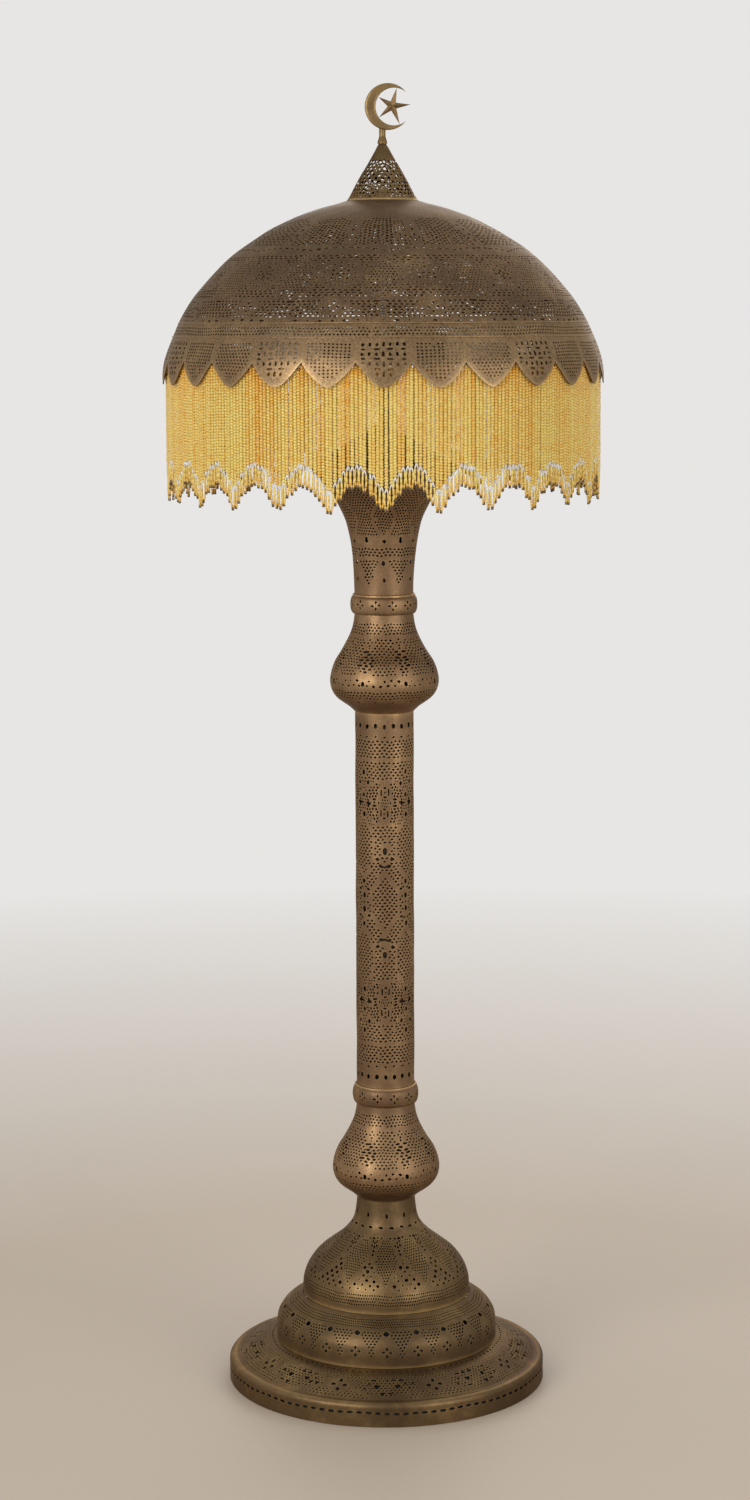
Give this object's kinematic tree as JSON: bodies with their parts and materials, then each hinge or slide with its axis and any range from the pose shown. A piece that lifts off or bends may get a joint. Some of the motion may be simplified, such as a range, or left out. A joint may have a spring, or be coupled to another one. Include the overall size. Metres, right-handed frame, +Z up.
{
  "type": "lantern floor lamp",
  "caption": "Pierced brass floor lamp with a tiered round foot, onion knops, flared neck, scalloped dome shade, bead fringe and a crescent-and-star finial.",
  "frame": {"origin": "on the floor, below the middle of the foot", "axes": "+Z up along the column, -Y towards the front, +X to the viewer's right"},
  "size_m": [0.508, 0.5092, 1.5249],
  "materials": {
    "foot_brass": "aged, satin, darkened in the hollows",
    "column_brass": "aged, satin, warm brown patina",
    "shade_brass": "aged, satin, grey-brown patina",
    "finial_brass": "aged, satin",
    "riser_brass": "dark patina",
    "bead_glass": "polished amber glass",
    "bulb_glass": "frosted",
    "steel": "plated",
    "iron": "as cast, painted",
    "felt": "pressed felt",
    "black_plastic": "moulded",
    "liner_paper": "pressed paper",
    "cap_metal": "rolled thread"
  },
  "bodies": {
    "stand": {"felt_pad": "felt", "base_tray": "foot_brass", "base_drum": "foot_brass", "base_bell": "foot_brass", "base_ballast": "iron", "cord_bush": "black_plastic", "base_nut": "steel", "lower_knop": "column_brass", "lower_collar": "column_brass", "column_tube": "column_brass", "upper_knop": "column_brass", "upper_collar": "column_brass", "trumpet_neck": "column_brass", "trumpet_cap": "column_brass", "centring_discs": "steel", "centre_pipe": "steel", "cap_nut": "riser_brass", "riser_sleeve": "riser_brass", "socket_cluster": "riser_brass", "socket_nipples": "steel", "shade_rod": "steel", "shade_seat": "riser_brass", "seat_nut": "riser_brass", "holder_shell_left": "riser_brass", "holder_liner_left": "liner_paper", "holder_core_left": "black_plastic", "bulb_cap_left": "cap_metal", "bulb_glass_left": "bulb_glass", "holder_shell_right": "riser_brass", "holder_liner_right": "liner_paper", "holder_core_right": "black_plastic", "bulb_cap_right": "cap_metal", "bulb_glass_right": "bulb_glass"},
    "shade": {"shade_dome": "shade_brass", "fringe_hoop": "shade_brass", "bead_fringe": "bead_glass"},
    "finial": {"finial_cone": "finial_brass", "finial_disc": "finial_brass", "finial_stem": "finial_brass", "finial_crescent": "finial_brass", "finial_star": "finial_brass"},
    "key_left": {"switch_key_left": "black_plastic"},
    "key_right": {"switch_key_right": "black_plastic"}
  },
  "joints": [
    {"name": "shade_turn", "type": "hinge", "parent": "stand", "child": "shade", "pos_m": [0, 0, 1.3], "axis": [0, 0, 1], "continuous": true},
    {"name": "finial_turn", "type": "hinge", "parent": "stand", "child": "finial", "pos_m": [0, 0, 1.4], "axis": [0, 0, 1], "continuous": true},
    {"name": "key_turn_left", "type": "hinge", "parent": "stand", "child": "key_left", "pos_m": [-0.0355, 0, 1.227], "axis": [0, -1, 0], "continuous": true},
    {"name": "key_turn_right", "type": "hinge", "parent": "stand", "child": "key_right", "pos_m": [0.0355, 0, 1.227], "axis": [0, -1, 0], "continuous": true}
  ]
}
